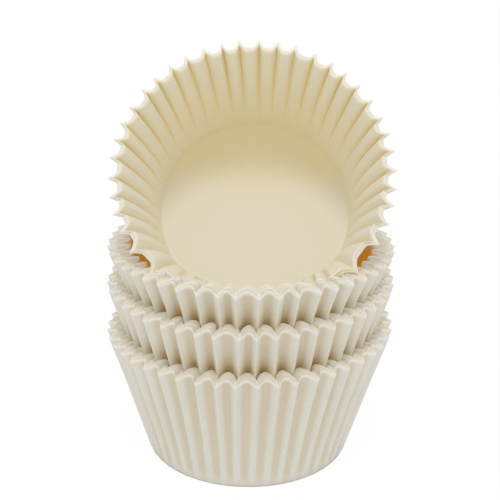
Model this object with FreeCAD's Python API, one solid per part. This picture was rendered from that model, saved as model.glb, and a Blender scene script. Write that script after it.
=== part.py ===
import FreeCAD, Part
import math
import os

os.makedirs("parts", exist_ok=True)

# A stack of pleated cupcake liners, in millimetres, +Z up. The origin is the centre of
# the underside of the lowest liner, and the stack is seen from -Y. Three bunches of
# nested liners stand in each other, and a fourth lies tilted in the mouth of the third.
# Each liner is one round sheet of paper with a flat floor and a pleated wall, whose
# sharp folds (tips) point outwards and whose flat folds point inwards.

# The sheet of paper, and where its wall starts and bends
floorRadius = 25.4
wallLength = 34.8
paper = 0.05
pleats = 46
kneeShare = 0.67
tipDirection = 2.8

# The outermost liner of a bunch: its mouth and its pleats there
rimRadius = 35.5
pleatDepth = 2.9
depthGrowth = 0.74
flatShare = 0.34

# How far each liner stands inside the one around it, at the floor and at the rim
nestGap = 0.05
fanTips = 0.43
fanFolds = 0.315

# The three standing bunches, from the floor up
bottomLiners = 8
middleLiners = 8
upperLiners = 8
middleStep = 12.4
upperStep = 9.0
seatClearance = 0.17
stackLean = 0.0095

# The tilted bunch, a little narrower than the others. Its foot rests with both sides on
# the mouth below, at topSeatRise up its wall, and its lip is pinched inside that mouth.
topLiners = 4
topNarrowing = 1.35
topTipDirection = 285.4
topTilt = 53.7
topRoll = -2.3
topShiftX = 0.6
topSeatRise = 3.4
topSeatDirection = 63
topSeatClearance = 0.0883
topSeatLift = 1.7538
pinchDepth = 5.2
pinchHalfAngle = 61.8
pinchRunOut = 29.0
lipReturn = 1.56

pitch = 2 * math.pi / pleats
cornerAngle = pitch / 2 * (1 - flatShare)
nestRise = paper + nestGap
topRimRadius = rimRadius - topNarrowing


def smooth(share):
    share = min(max(share, 0), 1)
    return share * share * (3 - 2 * share)


# Height that a straight piece of wall gains while it runs outwards.
def riseOf(length, run):
    return math.sqrt(length ** 2 - run ** 2)


# Horizontal width, at one height, of a layer of a leaning wall whose layers lie on each
# other, and whose floors are this thick.
def layerStep(thickness):
    lean = math.asin((rimRadius - floorRadius) / wallLength)
    return thickness * (1 - math.sin(lean)) / math.cos(lean)


# Radial step from one liner to the next, at a length along the wall.
def fanStep(length, stepAtRim):
    stepAtFloor = layerStep(nestRise)
    return stepAtFloor + (stepAtRim - stepAtFloor) * length / wallLength


# A line down the wall, for the tips or for the folds, as three points from the floor's
# edge to the rim. Each point is a radius and a height. The outermost liner's knee is
# given, and the liners inside it keep its length up to the knee and its whole length.
def wallLine(index, floorZ, knee, rim, fanAtRim):
    below = math.hypot(knee[0] - floorRadius, knee[1] - floorZ)
    start = (floorRadius - index * layerStep(nestRise), floorZ + index * nestRise)
    kneeRadius = knee[0] - index * fanStep(below, fanAtRim)
    kneeZ = start[1] + riseOf(below, kneeRadius - start[0])
    endRadius = rim - index * fanAtRim
    endZ = kneeZ + riseOf(wallLength - below, endRadius - kneeRadius)
    return [start, (kneeRadius, kneeZ), (endRadius, endZ)]


# A liner's outer skin: the lines of its tips and its folds.
def outerSkin(index, floorZ, knees, rim):
    return {
        "tips": wallLine(index, floorZ, knees["tips"], rim, fanTips),
        "folds": wallLine(index, floorZ, knees["folds"], rim - pleatDepth, fanFolds),
        "corners": [0, cornerAngle, cornerAngle],
    }


# The inner skin lies one paper inside: further in at a sharp tip, and with its corners
# nearer to the tip.
def innerSkin(outer):
    inner = {"tips": [], "folds": [], "corners": []}
    for tip, fold, corner in zip(outer["tips"], outer["folds"], outer["corners"]):
        if corner == 0:
            start = (tip[0] - layerStep(paper), tip[1] + paper)
            inner["tips"].append(start)
            inner["folds"].append(start)
            inner["corners"].append(0)
            continue
        halfTip = math.atan2(fold[0] * math.sin(corner), tip[0] - fold[0])
        shift = paper * (1 - math.sin(halfTip)) / math.cos(halfTip)
        inner["tips"].append((tip[0] - paper / math.sin(halfTip), tip[1]))
        inner["folds"].append((fold[0] - paper, fold[1]))
        inner["corners"].append(corner - shift / fold[0])
    return inner


# The rows of points of a skin. In each row, tip n lies between the corners left[n] and
# right[n] of the two folds beside it.
def skinRows(skin, direction, pinch, place):
    rows = []
    lengths = [0, kneeShare, 1]
    for tip, fold, corner, share in zip(skin["tips"], skin["folds"], skin["corners"], lengths):
        row = {"tip": [], "left": [], "right": []}
        for number in range(pleats):
            angle = direction + number * pitch
            tipRadius = tip[0] - share * pinch(angle)
            leftRadius = fold[0] - share * pinch(angle - pitch / 2)
            rightRadius = fold[0] - share * pinch(angle + pitch / 2)
            row["tip"].append(place(polar(tipRadius, angle, tip[1])))
            row["left"].append(place(polar(leftRadius, angle - corner, fold[1])))
            row["right"].append(place(polar(rightRadius, angle + corner, fold[1])))
        rows.append(row)
    return rows


def polar(radius, angle, z):
    return FreeCAD.Vector(radius * math.sin(angle), -radius * math.cos(angle), z)


def flatFace(*points):
    return Part.Face(Part.makePolygon(list(points) + [points[0]]))


def skinFaces(rows):
    start, knee, rim = rows
    faces = [flatFace(*start["tip"])]
    for n in range(pleats):
        m = (n + 1) % pleats
        faces.append(flatFace(start["tip"][n], knee["right"][n], knee["left"][m], start["tip"][m]))
        faces.append(flatFace(knee["right"][n], rim["right"][n], rim["left"][m], knee["left"][m]))
        for side in ("left", "right"):
            faces.append(flatFace(start["tip"][n], knee["tip"][n], knee[side][n]))
            faces.append(flatFace(knee["tip"][n], rim["tip"][n], rim[side][n]))
            faces.append(flatFace(knee["tip"][n], rim[side][n], knee[side][n]))
    return faces


def rimFaces(outer, inner):
    faces = []
    for n in range(pleats):
        m = (n + 1) % pleats
        faces.append(flatFace(outer["right"][n], outer["left"][m], inner["left"][m], inner["right"][n]))
        for side in ("left", "right"):
            faces.append(flatFace(outer["tip"][n], outer[side][n], inner[side][n]))
            faces.append(flatFace(outer["tip"][n], inner[side][n], inner["tip"][n]))
    return faces


# One liner as a closed solid. A pinch takes its value from the mouth's radius.
def linerSolid(outer, direction, pinch, place):
    outerRows = skinRows(outer, direction, pinch, place)
    innerRows = skinRows(innerSkin(outer), direction, pinch, place)
    faces = skinFaces(outerRows) + skinFaces(innerRows) + rimFaces(outerRows[2], innerRows[2])
    shell = Part.makeShell(faces)
    shell.sewShape()
    solid = Part.makeSolid(shell)
    if solid.Volume < 0:
        solid.reverse()
    return solid


def noPinch(angle):
    return 0


# The lip of the tilted bunch stands in the mouth below it, and is pushed in there.
def lipPinch(angle):
    away = abs(math.remainder(angle, 2 * math.pi))
    edge = math.radians(pinchHalfAngle)
    runOut = math.radians(pinchRunOut)
    pushed = smooth((edge - away) / runOut)
    returned = smooth((edge - runOut - away) / (edge - runOut))
    return pinchDepth * pushed - lipReturn * returned


# Knees of a bunch that stands on the floor: on the straight line from floor to rim.
def freeKnees(floorZ, rim):
    length = kneeShare * wallLength
    radius = floorRadius + kneeShare * (rim - floorRadius)
    foldRadius = radius - pleatDepth * kneeShare ** depthGrowth
    return {
        "tips": (radius, floorZ + riseOf(length, radius - floorRadius)),
        "folds": (foldRadius, floorZ + riseOf(length, foldRadius - floorRadius)),
    }


# Knees of a bunch that stands in another: where it leaves the innermost rim there.
def seatedKnees(seat):
    tips, folds = seat["tips"][2], seat["folds"][2]
    return {
        "tips": (tips[0] - seatClearance, tips[1]),
        "folds": (folds[0] - seatClearance, folds[1]),
    }


def bunchSkins(count, floorZ, knees, rim):
    return [outerSkin(index, floorZ, knees, rim) for index in range(count)]


# The standing stack leans a little to one side, and its floors stay level.
def leaned(point):
    return FreeCAD.Vector(point.x + stackLean * point.z, point.y, point.z)


# The middle of the tilted bunch's mouth, found from the seat of its foot: the two points
# where the innermost rim below is as wide as the foot. A foot that is too wide to sit
# that far forward stands higher, on a shorter chord of itself, at topSeatDirection.
def tiltedMouth():
    seatRadius, seatZ = innerSkin(upperSkins[-1])["folds"][2]
    rimHeight = topSkins[0]["tips"][2][1]
    slope = (topRimRadius - floorRadius) / rimHeight
    footHalf = floorRadius + topSeatRise * slope + topShiftX + topSeatClearance
    seatHalf = min(footHalf, seatRadius * math.sin(math.radians(topSeatDirection)))
    seatY = math.sqrt(seatRadius ** 2 - seatHalf ** 2)
    climb = math.sqrt(footHalf ** 2 - seatHalf ** 2)
    arm = rimHeight - topSeatRise
    sine = math.sin(math.radians(topTilt))
    cosine = math.cos(math.radians(topTilt))
    mouthY = seatY + climb * cosine - arm * sine
    mouthZ = seatZ + topSeatLift + climb * sine + arm * cosine
    return FreeCAD.Vector(topShiftX, mouthY, mouthZ)


# The top bunch is tilted and rolled about the middle of its mouth.
def tilted(point):
    tilt = FreeCAD.Rotation(FreeCAD.Vector(1, 0, 0), topTilt)
    roll = FreeCAD.Rotation(FreeCAD.Vector(0, 1, 0), topRoll)
    fromMouth = FreeCAD.Vector(point.x, point.y, point.z - topSkins[0]["tips"][2][1])
    return topMouth + roll.multVec(tilt.multVec(fromMouth))


def writeBunch(name, skins, direction, pinch, place):
    for index, skin in enumerate(skins):
        solid = linerSolid(skin, math.radians(direction), pinch, place)
        node = f"{name}_liner_{index + 1}"
        solid.exportStep(f"parts/{node}.step")
        print(node, "valid", solid.isValid(), "mm3", round(solid.Volume, 1))


bottomSkins = bunchSkins(bottomLiners, 0, freeKnees(0, rimRadius), rimRadius)
middleKnees = seatedKnees(innerSkin(bottomSkins[-1]))
middleSkins = bunchSkins(middleLiners, middleStep, middleKnees, rimRadius)
upperKnees = seatedKnees(innerSkin(middleSkins[-1]))
upperSkins = bunchSkins(upperLiners, middleStep + upperStep, upperKnees, rimRadius)
topSkins = bunchSkins(topLiners, 0, freeKnees(0, topRimRadius), topRimRadius)
topMouth = tiltedMouth()

writeBunch("bottom", bottomSkins, tipDirection, noPinch, leaned)
writeBunch("middle", middleSkins, tipDirection, noPinch, leaned)
writeBunch("upper", upperSkins, tipDirection, noPinch, leaned)
writeBunch("top", topSkins, topTipDirection, lipPinch, tilted)
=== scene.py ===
import math

import bpy
import numpy as np
from mathutils import Matrix


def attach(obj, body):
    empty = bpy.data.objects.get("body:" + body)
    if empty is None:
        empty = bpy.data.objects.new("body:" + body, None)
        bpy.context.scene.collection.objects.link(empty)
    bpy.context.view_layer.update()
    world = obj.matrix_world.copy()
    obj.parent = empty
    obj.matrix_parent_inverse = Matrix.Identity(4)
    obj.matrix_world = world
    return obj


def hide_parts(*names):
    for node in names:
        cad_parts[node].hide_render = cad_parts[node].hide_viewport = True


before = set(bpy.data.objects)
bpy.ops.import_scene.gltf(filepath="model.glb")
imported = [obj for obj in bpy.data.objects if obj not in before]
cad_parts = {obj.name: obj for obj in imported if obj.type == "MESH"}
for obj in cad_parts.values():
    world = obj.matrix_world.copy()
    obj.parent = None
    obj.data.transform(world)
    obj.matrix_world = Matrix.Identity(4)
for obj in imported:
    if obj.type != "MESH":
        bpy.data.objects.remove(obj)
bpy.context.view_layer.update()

mm = 0.001

# One sheet of paper and the cup that is pressed from it, in millimetres. A section is the
# flank's end, the bow, the power and the bluntness of one pleat, as arch() takes them. The
# growths are powers of the share of the way up the wall. Rows come in two sets: for cups
# that show, and for the others.
sheet = {
    "floorRadius": 25.4,
    "wallLength": 34.8,
    "paper": 0.06,
    "pleats": 46,
    "pleatDepth": 2.35,
    "innerPleatDepth": 2.9,
    "depthGrowth": 0.66,
    "outerSection": (0.86, 1.5, 1.0, 0.10),
    "innerSection": (1.0, 2.0, 0.52, 0.03),
    "rimPaper": 0.2,
    "rimPaperGrowth": 5,
    "floorBend": 0.8,
    "fan": 0.36,
    "rimDrop": 0.14,
    "nestRise": 0.1,
    "nestStep": 0.074,
    "kneeRise": 0.045,
    "foldRise": 0.29,
    "footThickness": 0.74,
    "tipThickness": 1.6,
    "columnsOfHalfPleat": (0.0, 0.05, 0.14, 0.27, 0.43, 0.61, 0.8),
    "wallRows": (16, 6),
    "floorRows": ((0.86, 0.5, 0.16), (0.5,)),
    "edgeRows": ((-1.0, -0.4, 0.2, 1.0), (-1.0, 1.0)),
    "sharpAngle": 30.0,
}

# How far the pleats stray from an even pattern, as shares of one pleat or in millimetres
strays = {
    "place": 0.035,
    "sway": 0.05,
    "depth": 0.05,
    "skew": 0.12,
    "trim": 0.10,
    "leastTrim": 0.3,
    "trimGrowth": 8,
    "seed": 7,
}

# The standing stack. Each bunch has the height of its floor, the radius and height of its
# outermost cup's knee, its mouth's radius, how its rim leans along X and Y, and how far
# above its knee the painted contact shade starts to fade. Lengths are in millimetres. The
# mouth's sides, back and front are windows: where the easing starts or ends, and its width.
# The contact, foot, amber and mouth numbers set painted shade, and in the mouth a painted
# glow as well.
standing = {
    "lean": 0.0095,
    "tipDirection": 2.8,
    "contactFade": 2.7,
    "contactOnTips": 0.2,
    "footShade": 0.6,
    "footHeight": 0.2,
    "footFade": 0.35,
    "amberShade": 0.5,
    "amberFade": 4.5,
    "mouthDepth": 0.6,
    "mouthFade": 1.8,
    "mouthSides": (19.0, 6.0),
    "mouthBack": (14.0, 8.0),
    "mouthFront": (25.0, 6.0),
    "bottom": {
        "count": 8,
        "floorZ": 0.0,
        "knee": (32.3, 22.3),
        "rimRadius": 35.9,
        "rimLean": (0.020, 0.0),
        "contactLift": 0.0,
    },
    "middle": {
        "count": 8,
        "floorZ": 12.4,
        "knee": (32.19, 22.3),
        "rimRadius": 35.7,
        "rimLean": (0.012, 0.010),
        "contactLift": 0.0,
    },
    "upper": {
        "count": 8,
        "floorZ": 21.4,
        "knee": (32.19, 25.7),
        "rimRadius": 35.5,
        "rimLean": (-0.005, -0.020),
        "contactLift": -1.3,
    },
}

# The tilted bunch: its cups, its pose, the pinch of its lip and where painted amber shade
# lies on it. The windows are where the easing starts or ends and its width, in millimetres,
# or in degrees from the front of the mouth for the lip and its push.
tilted = {
    "count": 4,
    "floorRadius": 24.5,
    "rimRadius": 34.15,
    "rimHeight": 33.68,
    "pleatDepth": 2.35,
    "depthGrowth": 1.15,
    "section": (0.62, 1.5, 1.0, 0.0),
    "plainFoot": 0.10,
    "tipDirection": 285.4,
    "tilt": 53.7,
    "roll": -2.3,
    "floorBend": 0.35,
    "mouth": (0.6, -10.5, 76.1),
    "pinchDepth": 5.2,
    "pinchHalfAngle": 61.8,
    "pinchRunOut": 29.0,
    "lipReturn": 1.56,
    "flare": 1.7,
    "lipDip": 7.5,
    "lipPush": 1.6,
    "lipWindow": (62.0, 20.0),
    "pushWindow": (12.0, 22.0),
    "kneeShare": 0.67,
    "depthStep": 0.07,
    "wallFrom": 0.012,
    "floorAmber": (60.0, 8.0),
    "floorHaze": (48.0, 14.0),
    "hazeShare": 0.2,
    "wallAmber": (66.0, 20.0),
    "wallLeast": 0.35,
    "rimLess": 0.55,
    "hiddenAmber": (60.0, 3.0),
    "creaseless": (65.0, 6.0),
    "creaselessShare": 0.7,
}


# Eases a share from 0 to 1 as 3s^2 - 2s^3.
def smooth(share):
    share = np.clip(share, 0.0, 1.0)
    return share * share * (3.0 - 2.0 * share)


# Eases from 0 to 1 as a value climbs from a window's start over its width.
def rising(value, window):
    return smooth((value - window[0]) / window[1])


# Eases from 1 to 0 as a value climbs to a window's edge, over its width.
def falling(value, window):
    return smooth((window[0] - value) / window[1])


# Columns around one cup. Each pleat runs from tip to tip, with points gathered at its
# tips. Returns each column's angle, its place from 0 at a tip to 1 at a fold, and the
# pleat's number.
def pleatColumns(direction):
    half = np.array(sheet["columnsOfHalfPleat"])
    across = np.concatenate([half, [1.0], 2.0 - half[:0:-1]])
    number = np.repeat(np.arange(sheet["pleats"]), across.size)
    within = np.tile(across, sheet["pleats"])
    turn = (number + within / 2.0) / sheet["pleats"]
    fromTip = 1.0 - np.abs(1.0 - within)
    return direction + 2.0 * math.pi * turn, fromTip, number, within / 2.0


# A value for each pleat, carried smoothly across the pleat to the next one's value.
def betweenPleats(values, number, within):
    after = np.roll(values, -1)
    return values[number] * (1.0 - smooth(within)) + after[number] * smooth(within)


# The section of a pleat: 0 at the tip, 1 on the broad fold, as
# (1 - (1 - x / flank)^bow)^power up to the end of the flank. A blunt tip starts later.
def arch(fromTip, section):
    flank, bow, power, blunt = section
    eased = (np.sqrt(fromTip ** 2 + blunt ** 2) - blunt) / (math.hypot(1.0, blunt) - blunt)
    return (1.0 - (1.0 - np.clip(eased / flank, 0.0, 1.0)) ** bow) ** power


# Radius and height, at lengths along the wall, of a line with a knee: straight from the
# floor's edge to the knee, and straight from there to the rim, which a drop shortens.
def wallLine(length, start, knee, rimRadius, drop):
    below = math.hypot(knee[0] - start[0], knee[1] - start[1])
    above = sheet["wallLength"] - below - drop
    rimZ = knee[1] + math.sqrt(above ** 2 - (rimRadius - knee[0]) ** 2)
    stops = [0.0, below, sheet["wallLength"]]
    radius = np.interp(length, stops, [start[0], knee[0], rimRadius])
    height = np.interp(length, stops, [start[1], knee[1], rimZ])
    return radius, height


# One skin of a cup as a grid of rows, from the middle of the floor to the rim, and
# columns around it. Radius and height go from the tips' line to the folds' line by the
# arch, and a quadratic curve bends the floor into the wall.
def cupSkin(cup, lengths, inside):
    thick = sheet["paper"] if inside else 0.0
    rimThick = sheet["rimPaper"] - sheet["paper"] if inside else 0.0
    angle, fromTip, number, within = pleatColumns(math.radians(cup["direction"]))
    stray = cup["strays"]
    share = np.clip(lengths / sheet["wallLength"], 0.0, 1.0)[:, None]
    slant = stray["skew"][number] * np.sin(2.0 * math.pi * within) * fromTip
    bow = arch(np.clip(fromTip + slant, 0.0, 1.0), cup["section"])
    start = (cup["floorRadius"] - thick * sheet["footThickness"], cup["floorZ"] + thick)
    upWall = np.maximum(lengths, 0.0)
    tipRadius, tipZ = wallLine(upWall, start, cup["knee"], cup["rimRadius"], cup["drop"])
    foot = cup["plainFoot"]
    depth = cup["depth"] * (np.maximum(share - foot, 0.0) / (1.0 - foot)) ** cup["depthGrowth"]
    depth = depth * (1.0 + betweenPleats(stray["depth"], number, within)[None, :])
    flare = cup["flare"] * 4.0 * share * (1.0 - share)
    pinch = cup["pinch"](angle)[None, :] * share
    radius = tipRadius[:, None] - depth * bow[None, :] - flare - pinch
    thicker = sheet["tipThickness"] - (sheet["tipThickness"] - 1.0) * bow[None, :]
    radius = radius - (thick + rimThick * share ** sheet["rimPaperGrowth"]) * thicker * (share > 0)
    height = tipZ[:, None] + sheet["foldRise"] * depth * bow[None, :]
    bend = cup["floorBend"]
    floor = lengths[:, None] < -bend
    flatRadius = start[0] + lengths[:, None] + 0.0 * radius
    curved = (~floor) & (lengths[:, None] < bend)
    top = int(np.argmin(np.abs(lengths - bend)))
    part = np.clip((lengths[:, None] + bend) / (2.0 * bend), 0.0, 1.0)
    bentRadius = (1 - part) ** 2 * (start[0] - bend) + 2 * part * (1 - part) * start[0]
    bentRadius = bentRadius + part ** 2 * radius[top]
    bentHeight = (1 - part ** 2) * start[1] + part ** 2 * height[top]
    radius = np.where(floor, flatRadius, np.where(curved, bentRadius, radius))
    height = np.where(floor, start[1], np.where(curved, bentHeight, height))
    sway = share * share * betweenPleats(stray["sway"], number, within)
    drift = betweenPleats(stray["place"], number, within) + sway
    around = angle[None, :] + drift * 2.0 * math.pi / sheet["pleats"]
    trim = stray["trim"] * np.cos(around - stray["trimTurn"]) * share ** strays["trimGrowth"]
    grid = np.stack([radius * np.sin(around), -radius * np.cos(around), height + trim], axis=-1)
    marks = {
        "fold": np.broadcast_to(bow[None, :], radius.shape),
        "along": np.broadcast_to(lengths[:, None] / sheet["wallLength"], radius.shape),
        "inside": np.full(radius.shape, 1.0 if inside else 0.0),
    }
    return grid, marks


# A closed cup: the outer skin from the middle of its floor out to the rim, then the
# inner skin back to the middle. Cups of which little shows have fewer rows.
def cupMesh(name, cup, detail):
    choice = 0 if detail else 1
    wall = np.linspace(0.0, 1.0, sheet["wallRows"][choice])[1:] * sheet["wallLength"]
    floorRows = np.array(sheet["floorRows"][choice]) * -cup["floorRadius"]
    edge = np.array(sheet["edgeRows"][choice]) * cup["floorBend"]
    lengths = np.concatenate([floorRows, edge, wall])
    outer, outerMarks = cupSkin(cup, lengths, False)
    inner, innerMarks = cupSkin(cup, lengths, True)
    grid = np.concatenate([outer, inner[::-1]])
    marks = {key: np.concatenate([outerMarks[key], innerMarks[key][::-1]]) for key in outerMarks}
    rows, columns = grid.shape[:2]
    poles = np.array([[0, 0, grid[0, 0, 2]], [0, 0, grid[-1, 0, 2]]])
    flatPoints = np.concatenate([grid.reshape(-1, 3), poles])
    points = cup["place"](flatPoints, np.append(marks["along"].ravel(), [-1, -1]))
    row, column = np.meshgrid(np.arange(rows - 1), np.arange(columns), indexing="ij")
    after = (column + 1) % columns
    here, above = row * columns, (row + 1) * columns
    quads = np.stack([here + column, here + after, above + after, above + column], axis=-1)
    ring = np.arange(columns)
    nextRing = (ring + 1) % columns
    firstPole = np.stack([nextRing, ring, np.full(columns, rows * columns)], axis=-1)
    last = (rows - 1) * columns
    lastPole = np.stack([last + ring, last + nextRing, np.full(columns, rows * columns + 1)], axis=-1)
    mesh = bpy.data.meshes.new(name)
    mesh.vertices.add(len(points))
    mesh.vertices.foreach_set("co", (points * mm).ravel())
    corners = np.concatenate([quads.ravel(), firstPole.ravel(), lastPole.ravel()])
    sizes = np.concatenate([np.full(quads.size // 4, 4), np.full(2 * columns, 3)])
    mesh.loops.add(len(corners))
    mesh.loops.foreach_set("vertex_index", corners)
    mesh.polygons.add(len(sizes))
    mesh.polygons.foreach_set("loop_start", np.concatenate([[0], np.cumsum(sizes)[:-1]]))
    mesh.polygons.foreach_set("use_smooth", np.ones(len(sizes), dtype=bool))
    for key, values in marks.items():
        marks[key] = np.append(values.ravel(), [values[0, 0], values[-1, 0]])
    marks.update(cup["shades"](points, marks))
    for key, values in marks.items():
        attribute = mesh.attributes.new(key, "FLOAT", "POINT")
        attribute.data.foreach_set("value", values.astype(np.float32))
    mesh.update(calc_edges=True)
    mesh.validate()
    mesh.set_sharp_from_angle(angle=math.radians(sheet["sharpAngle"]))
    piece = bpy.data.objects.new(name, mesh)
    bpy.context.scene.collection.objects.link(piece)
    return piece


# The strays that all the cups of one bunch share, because their pleats lie in each other.
def bunchStrays(generator):
    pleats = sheet["pleats"]
    return {
        "place": generator.normal(0.0, strays["place"], pleats),
        "sway": generator.normal(0.0, strays["sway"], pleats),
        "depth": generator.normal(0.0, strays["depth"], pleats),
        "skew": generator.normal(0.0, strays["skew"], pleats),
    }


def cupStrays(shared, generator):
    own = dict(shared)
    own["trim"] = generator.uniform(strays["leastTrim"], 1.0) * strays["trim"]
    own["trimTurn"] = generator.uniform(0.0, 2.0 * math.pi)
    return own


def noPinch(angle):
    return np.zeros_like(angle)


# The tilted cups' lip is pushed in where it stands in the mouth below.
def lipPinch(angle):
    away = np.abs((angle + math.pi) % (2.0 * math.pi) - math.pi)
    edge = math.radians(tilted["pinchHalfAngle"])
    runOut = math.radians(tilted["pinchRunOut"])
    pushed = falling(away, (edge, runOut))
    returned = falling(away, (edge - runOut, edge - runOut))
    return tilted["pinchDepth"] * pushed - tilted["lipReturn"] * returned


def standingPlace(rimLean):
    def place(points, along):
        moved = points.copy()
        share = np.clip(along, 0.0, 1.0)
        moved[:, 2] += (rimLean[0] * points[:, 0] + rimLean[1] * points[:, 1]) * share
        moved[:, 0] += standing["lean"] * points[:, 2]
        return moved
    return place


# Painted shade: an amber tint, and a darker contact shade beside the rim that a cup stands
# in. On an outermost cup both fade up the wall from that rim, the contact shade mostly in
# the valleys, and the lowest cup gets painted shade at its foot on the table. Inside the
# innermost cup the depth of the mouth gets both, on either side of the tilted lip; the
# material turns that into a painted glow as well.
def standingShades(place, contactLength):
    def shades(points, marks):
        length = np.maximum(marks["along"], 0.0) * sheet["wallLength"]
        outside = 1.0 - marks["inside"]
        none = 0.0 * outside
        # Painted shade at the foot, where the cup stands on the table.
        if place == "foot":
            foot = np.exp(-np.maximum(length - standing["footHeight"], 0.0) / standing["footFade"])
            return {"amberShade": none, "contactShade": standing["footShade"] * foot * outside}
        if place == "mouth":
            sides = rising(np.abs(points[:, 0]), standing["mouthSides"])
            back = falling(points[:, 1], standing["mouthBack"])
            front = falling(-points[:, 1], standing["mouthFront"])
            depth = sheet["wallLength"] - standing["mouthDepth"] - length
            deep = smooth(depth / standing["mouthFade"]) * sides * back * front * marks["inside"]
            return {"amberShade": deep, "contactShade": deep}
        if place == "hidden":
            return {"amberShade": none, "contactShade": none}
        above = np.maximum(length - contactLength, 0.0)
        onTips = standing["contactOnTips"]
        near = np.exp(-above / standing["contactFade"]) * (onTips + (1.0 - onTips) * marks["fold"])
        amberShade = standing["amberShade"] * np.exp(-above / standing["amberFade"])
        return {"amberShade": amberShade * outside, "contactShade": near * outside}
    return shades


# In the tilted cup painted amber shade lies on the upper part of the floor, where the rim's
# shadow falls, on the foot of the wall above it, and on the hidden side of the wall inside
# the mouth below. The painted crease shade of the lip fades out down there.
def tiltedShades(points, marks):
    along = np.clip(marks["along"], 0.0, 1.0)
    height = points[:, 2]
    haze = tilted["hazeShare"]
    floorShade = (1.0 - haze) * rising(height, tilted["floorAmber"])
    floorShade = floorShade + haze * rising(height, tilted["floorHaze"])
    least = tilted["wallLeast"]
    wallShade = least + (1.0 - least) * rising(height, tilted["wallAmber"])
    wallShade = wallShade * (1.0 - tilted["rimLess"] * along)
    within = np.where(marks["along"] > tilted["wallFrom"], wallShade, floorShade)
    hidden = falling(height, tilted["hiddenAmber"])
    smoothed = tilted["creaselessShare"] * falling(height, tilted["creaseless"])
    return {
        "amberShade": np.where(marks["inside"] > 0.5, within, hidden),
        "contactShade": 0.0 * along,
        "fold": np.where(marks["inside"] > 0.5, np.maximum(marks["fold"], smoothed), marks["fold"]),
    }


# Turns points about the middle of the mouth: the tilt about X, then the roll about Y. The
# lip in front sags into the mouth below, and its two ends are pushed in there.
def tiltedPlace(points, along):
    tilt = Matrix.Rotation(math.radians(tilted["tilt"]), 3, "X")
    turn = Matrix.Rotation(math.radians(tilted["roll"]), 3, "Y") @ tilt
    away = np.degrees(np.abs(np.arctan2(points[:, 0], -points[:, 1])))
    height = np.clip(along, 0.0, 1.0) ** 2
    inMouth = falling(away, tilted["lipWindow"])
    ends = rising(away, tilted["pushWindow"]) * inMouth
    outward = points[:, :2] / np.maximum(np.hypot(points[:, 0], points[:, 1]), 1.0)[:, None]
    pushed = points.copy()
    pushed[:, :2] -= outward * (tilted["lipPush"] * ends * height)[:, None]
    fromMouth = pushed - np.array([0.0, 0.0, tilted["rimHeight"]])
    placed = fromMouth @ np.array(turn).T + np.array(tilted["mouth"])
    placed[:, 2] -= tilted["lipDip"] * inMouth * height
    return placed


# A socket of a material's tree, so that sums of values can be written out. Each
# operation adds its Math node.
class Value:
    def __init__(self, tree, socket):
        self.tree = tree
        self.socket = socket

    def math(self, operation, other, swapped=False):
        first, second = (other, self) if swapped else (self, other)
        return self.tree.add("ShaderNodeMath", {"operation": operation}, {0: first, 1: second})

    def __add__(self, other):
        return self.math("ADD", other)

    def __radd__(self, other):
        return self.math("ADD", other, True)

    def __sub__(self, other):
        return self.math("SUBTRACT", other)

    def __rsub__(self, other):
        return self.math("SUBTRACT", other, True)

    def __mul__(self, other):
        return self.math("MULTIPLY", other)

    def __rmul__(self, other):
        return self.math("MULTIPLY", other, True)

    def __pow__(self, other):
        return self.math("POWER", other)

    def between(self, low, high):
        inputs = {"Value": self, "From Min": low, "From Max": high}
        return self.tree.add("ShaderNodeMapRange", {"interpolation_type": "SMOOTHSTEP"}, inputs)


class Tree:
    def __init__(self, material):
        material.use_nodes = True
        self.nodes = material.node_tree.nodes
        self.links = material.node_tree.links
        self.nodes.clear()

    def add(self, kind, settings=None, inputs=None, output=0):
        node = self.nodes.new(kind)
        for key, value in (settings or {}).items():
            setattr(node, key, value)
        for key, value in (inputs or {}).items():
            if isinstance(value, Value):
                self.links.new(value.socket, node.inputs[key])
            else:
                node.inputs[key].default_value = value
        return Value(self, node.outputs[output]) if len(node.outputs) else None

    def mix(self, factor, first, second, blend="MIX"):
        settings = {"data_type": "RGBA", "blend_type": blend, "clamp_result": False}
        return self.add("ShaderNodeMix", settings, {0: factor, 6: first, 7: second}, output=2)


# Colours, and the shares in which the material mixes them in. The bands are shares of the
# way up the wall, or for the valleys across a pleat. The valley, crease, amber and contact
# colours are painted shade, and the glow colours are painted glow.
paperLook = {
    "face": (0.86, 0.835, 0.76, 1.0),
    "valleyShade": (0.78, 0.70, 0.54, 1.0),
    "within": (0.85, 0.825, 0.745, 1.0),
    "creaseShade": (0.88, 0.74, 0.38, 1.0),
    "edge": (0.93, 0.905, 0.83, 1.0),
    "amberShade": (0.92, 0.88, 0.71, 1.0),
    "contactShade": (0.50, 0.37, 0.21, 1.0),
    "glow": (0.095, 0.070, 0.025, 1.0),
    "rimGlow": (0.09, 0.082, 0.060, 1.0),
    "deepGlow": (0.26, 0.095, 0.004, 1.0),
    "roughness": 0.72,
    "specular": 0.25,
    "mottle": 0.03,
    "mottleScale": 140.0,
    "fibre": 0.00003,
    "fibreScale": 2600.0,
    "fibreStrength": 0.35,
    "valleyShare": 0.9,
    "creaseShare": 0.8,
    "insideGlow": 0.4,
    "amberGlow": 0.6,
    "rimGlowShare": 0.5,
    "rimBand": (0.965, 0.995),
    "wallBand": (0.0, 0.12),
    "valleyBand": (0.35, 1.0),
    "creaseBand": (0.10, 0.5),
    "creasePower": 3.0,
}
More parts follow.
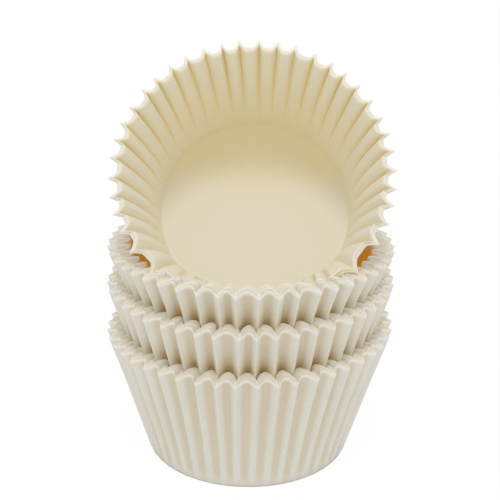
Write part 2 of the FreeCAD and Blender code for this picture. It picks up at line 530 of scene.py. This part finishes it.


# Greaseproof paper: warm off-white, paler along the cut edge, with a faint mottle and short
# fibres. Painted shade darkens the valleys outside and the creases inside, tints it amber
# where shade falls and darkens it where it stands in another rim. A painted glow lightens
# the inside, the amber shade, the depth of the mouth and the band along the rim.
def paperMaterial(look):
    material = bpy.data.materials.new("greaseproof paper")
    tree = Tree(material)
    where = tree.add("ShaderNodeTexCoord", output=3)
    names = ("fold", "along", "inside", "amberShade", "contactShade")
    fold, along, inside, amberShade, contactShade = [
        tree.add("ShaderNodeAttribute", {"attribute_name": name}, output=2) for name in names]
    cloudInputs = {"Vector": where, "Scale": look["mottleScale"], "Detail": 3.0}
    cloud = tree.add("ShaderNodeTexNoise", {}, cloudInputs)
    fibreInputs = {"Vector": where, "Scale": look["fibreScale"], "Detail": 4.0, "Distortion": 1.2}
    fibres = tree.add("ShaderNodeTexNoise", {}, fibreInputs)
    wall = along.between(*look["wallBand"])
    # Painted shade: the outer valleys are darker, as less light falls into them.
    valleyShade = fold.between(*look["valleyBand"]) * (1.0 - inside) * wall
    # Painted shade: the creases inside are darker and warmer.
    creaseShade = (1.0 - fold) ** look["creasePower"] * inside * along.between(*look["creaseBand"])
    rimBand = along.between(*look["rimBand"])
    darker = valleyShade * look["valleyShare"] + (cloud - 0.5) * look["mottle"]
    body = tree.mix(darker, look["face"], look["valleyShade"])
    body = tree.mix(inside, body, look["within"])
    body = tree.mix(creaseShade * look["creaseShare"], body, look["creaseShade"])
    body = tree.mix(rimBand, body, look["edge"])
    # Painted shade: the amber tint where shade falls on the paper.
    body = tree.mix(amberShade, body, look["amberShade"], "MULTIPLY")
    # Painted shade: the dark where a cup stands in another rim.
    body = tree.mix(contactShade, body, look["contactShade"], "MULTIPLY")
    bumpInputs = {"Strength": look["fibreStrength"], "Distance": look["fibre"], "Height": fibres}
    bump = tree.add("ShaderNodeBump", {}, bumpInputs)
    # A painted glow, standing in for light through the paper: inside, with the amber shade, deep in
    # the mouth and along the rim band.
    through = inside * look["insideGlow"] + amberShade * look["amberGlow"]
    glow = tree.mix(through, (0.0, 0.0, 0.0, 1.0), look["glow"])
    glow = tree.mix(inside * contactShade, glow, look["deepGlow"])
    glow = tree.mix(rimBand * look["rimGlowShare"], glow, look["rimGlow"])
    surface = tree.add("ShaderNodeBsdfPrincipled", {}, {
        "Base Color": body,
        "Roughness": look["roughness"],
        "Specular IOR Level": look["specular"],
        "Normal": bump,
        "Emission Color": glow,
        "Emission Strength": 1.0,
    })
    tree.add("ShaderNodeOutputMaterial", {}, {"Surface": surface})
    return material


paper = paperMaterial(paperLook)


def finishCup(piece, node):
    piece.data.materials.append(paper)
    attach(piece, "root")
    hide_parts(node)


# Where painted shade goes on a cup of a bunch: at the foot of the lowest one, up the wall
# of one that stands in another bunch, or inside the innermost one on top. The others are
# hidden.
def shadedPlace(name, index, count):
    if index == 0:
        return "foot" if name == "bottom" else "wall"
    return "mouth" if name == "upper" and index == count - 1 else "hidden"


# The cups of one standing bunch. Each one inside has a smaller, higher floor and a
# steeper wall, so that the rims fan out.
def standingBunch(name, bunch, generator):
    shared = bunchStrays(generator)
    kneeLength = math.hypot(bunch["knee"][0] - sheet["floorRadius"], bunch["knee"][1])
    contactLength = kneeLength + bunch["contactLift"]
    kneeShare = bunch["knee"][1] / sheet["wallLength"]
    kneeStep = sheet["nestStep"] + (sheet["fan"] - sheet["nestStep"]) * kneeShare
    outerSection, innerSection = np.array(sheet["outerSection"]), np.array(sheet["innerSection"])
    for index in range(bunch["count"]):
        inward = index / (bunch["count"] - 1)
        floorZ = bunch["floorZ"] + index * sheet["nestRise"]
        kneeZ = floorZ + bunch["knee"][1] + index * sheet["kneeRise"]
        cup = {
            "floorRadius": sheet["floorRadius"] - index * sheet["nestStep"],
            "floorZ": floorZ,
            "knee": (bunch["knee"][0] - index * kneeStep, kneeZ),
            "rimRadius": bunch["rimRadius"] - index * sheet["fan"],
            "depth": sheet["pleatDepth"] + (sheet["innerPleatDepth"] - sheet["pleatDepth"]) * inward,
            "depthGrowth": sheet["depthGrowth"],
            "section": outerSection * (1 - inward) + innerSection * inward,
            "plainFoot": 0.0,
            "drop": sheet["rimDrop"] * index,
            "direction": standing["tipDirection"],
            "flare": 0.0,
            "pinch": noPinch,
            "strays": cupStrays(shared, generator),
            "place": standingPlace(bunch["rimLean"]),
            "floorBend": sheet["floorBend"],
            "shades": standingShades(shadedPlace(name, index, bunch["count"]), contactLength),
        }
        detailed = index == 0 or (name == "upper" and inward == 1.0)
        node = f"{name}_liner_{index + 1}"
        finishCup(cupMesh(f"{name}_cup_{index + 1}", cup, detailed), node)


def tiltedBunch(generator):
    shared = bunchStrays(generator)
    slope = (tilted["rimRadius"] - tilted["floorRadius"]) / sheet["wallLength"]
    kneeLength = tilted["kneeShare"] * sheet["wallLength"]
    kneeStep = sheet["nestStep"] + (sheet["fan"] - sheet["nestStep"]) * tilted["kneeShare"]
    for index in range(tilted["count"]):
        floorRadius = tilted["floorRadius"] - index * sheet["nestStep"]
        kneeRadius = tilted["floorRadius"] + slope * kneeLength - index * kneeStep
        floorZ = index * sheet["nestRise"]
        kneeZ = floorZ + math.sqrt(kneeLength ** 2 - (kneeRadius - floorRadius) ** 2)
        cup = {
            "floorRadius": floorRadius,
            "floorZ": floorZ,
            "knee": (kneeRadius, kneeZ),
            "rimRadius": tilted["rimRadius"] - index * sheet["fan"],
            "depth": tilted["pleatDepth"] - tilted["depthStep"] * index,
            "depthGrowth": tilted["depthGrowth"],
            "section": tilted["section"],
            "floorBend": tilted["floorBend"],
            "plainFoot": tilted["plainFoot"],
            "drop": 0.0,
            "direction": tilted["tipDirection"],
            "flare": tilted["flare"],
            "pinch": lipPinch,
            "strays": cupStrays(shared, generator),
            "place": tiltedPlace,
            "shades": tiltedShades,
        }
        node = f"top_liner_{index + 1}"
        finishCup(cupMesh(f"top_cup_{index + 1}", cup, index in (0, tilted["count"] - 1)), node)


generator = np.random.default_rng(strays["seed"])
for bunchName in ("bottom", "middle", "upper"):
    standingBunch(bunchName, standing[bunchName], generator)
    print(bunchName, "bunch made")
tiltedBunch(generator)
print("tilted bunch made")

# The floor, the white room and the lamp. plainWhite is how much of the floor the camera
# sees as plain white: the rest keeps the stack's shadow.
stage = {
    "floorHalf": 3.0,
    "floorColour": (0.93, 0.93, 0.93, 1.0),
    "plainWhite": 0.97,
    "skyLight": 0.93,
    "keyPower": 1.5,
    "keySize": 0.16,
    "keyDistance": 0.9,
    "keyElevation": 67.5,
}


def makeFloor():
    half = stage["floorHalf"]
    mesh = bpy.data.meshes.new("floor")
    corners = [(-half, -half, 0), (half, -half, 0), (half, half, 0), (-half, half, 0)]
    mesh.from_pydata(corners, [], [(0, 1, 2, 3)])
    floor = bpy.data.objects.new("floor", mesh)
    bpy.context.scene.collection.objects.link(floor)
    material = bpy.data.materials.new("white floor")
    tree = Tree(material)
    seen = tree.add("ShaderNodeLightPath", output=0)
    matt = tree.add("ShaderNodeBsdfDiffuse", {}, {"Color": stage["floorColour"]})
    white = tree.add("ShaderNodeEmission", {}, {"Strength": 1.0})
    surface = tree.add("ShaderNodeMixShader", {}, {0: seen * stage["plainWhite"], 1: matt, 2: white})
    tree.add("ShaderNodeOutputMaterial", {}, {"Surface": surface})
    mesh.materials.append(material)


# A white room: it lights the stack softly, and the camera sees it as plain white.
def makeWorld():
    world = bpy.data.worlds.new("white room")
    world.use_nodes = True
    bpy.context.scene.world = world
    nodes, links = world.node_tree.nodes, world.node_tree.links
    nodes.clear()
    path = nodes.new("ShaderNodeLightPath")
    strength = nodes.new("ShaderNodeMapRange")
    strength.inputs["To Min"].default_value = stage["skyLight"]
    strength.inputs["To Max"].default_value = 1.0
    background = nodes.new("ShaderNodeBackground")
    output = nodes.new("ShaderNodeOutputWorld")
    links.new(path.outputs["Is Camera Ray"], strength.inputs["Value"])
    links.new(strength.outputs["Result"], background.inputs["Strength"])
    links.new(background.outputs["Background"], output.inputs["Surface"])


# The one lamp: a disk in front of the stack and high above it, which looks at its middle.
def makeKeyLamp():
    lamp = bpy.data.lights.new("key", "AREA")
    lamp.energy = stage["keyPower"]
    lamp.shape = "DISK"
    lamp.size = stage["keySize"]
    holder = bpy.data.objects.new("key", lamp)
    bpy.context.scene.collection.objects.link(holder)
    elevation = math.radians(stage["keyElevation"])
    away = np.array([0.0, -math.cos(elevation), math.sin(elevation)])
    holder.location = np.array(view["target"]) + away * stage["keyDistance"]
    holder.rotation_euler = (math.pi / 2.0 - elevation, 0.0, 0.0)


# The camera: where it looks and from how far, in metres and degrees
view = {
    "target": (0.000224, 0.0, 0.052675),
    "distance": 0.3371,
    "elevation": 22.15,
    "roll": 0.573,
    "lens": 97.93,
}


def makeCamera():
    camera = bpy.data.cameras.new("camera")
    camera.lens = view["lens"]
    camera.sensor_width = 36.0
    camera.clip_start = 0.01
    camera.clip_end = 20.0
    holder = bpy.data.objects.new("camera", camera)
    bpy.context.scene.collection.objects.link(holder)
    rise = math.radians(view["elevation"])
    roll = math.radians(view["roll"])
    right = np.array([1.0, 0.0, 0.0])
    up = np.array([0.0, math.sin(rise), math.cos(rise)])
    back = np.array([0.0, -math.cos(rise), math.sin(rise)])
    rolledRight = right * math.cos(roll) + up * math.sin(roll)
    rolledUp = up * math.cos(roll) - right * math.sin(roll)
    place = np.array(view["target"]) + back * view["distance"]
    turn = np.eye(4)
    turn[:3, 0], turn[:3, 1], turn[:3, 2], turn[:3, 3] = rolledRight, rolledUp, back, place
    holder.matrix_world = Matrix(turn.tolist())
    bpy.context.scene.camera = holder


makeFloor()
makeWorld()
makeKeyLamp()
makeCamera()
bpy.context.scene.view_settings.view_transform = "Standard"
print("stage made")
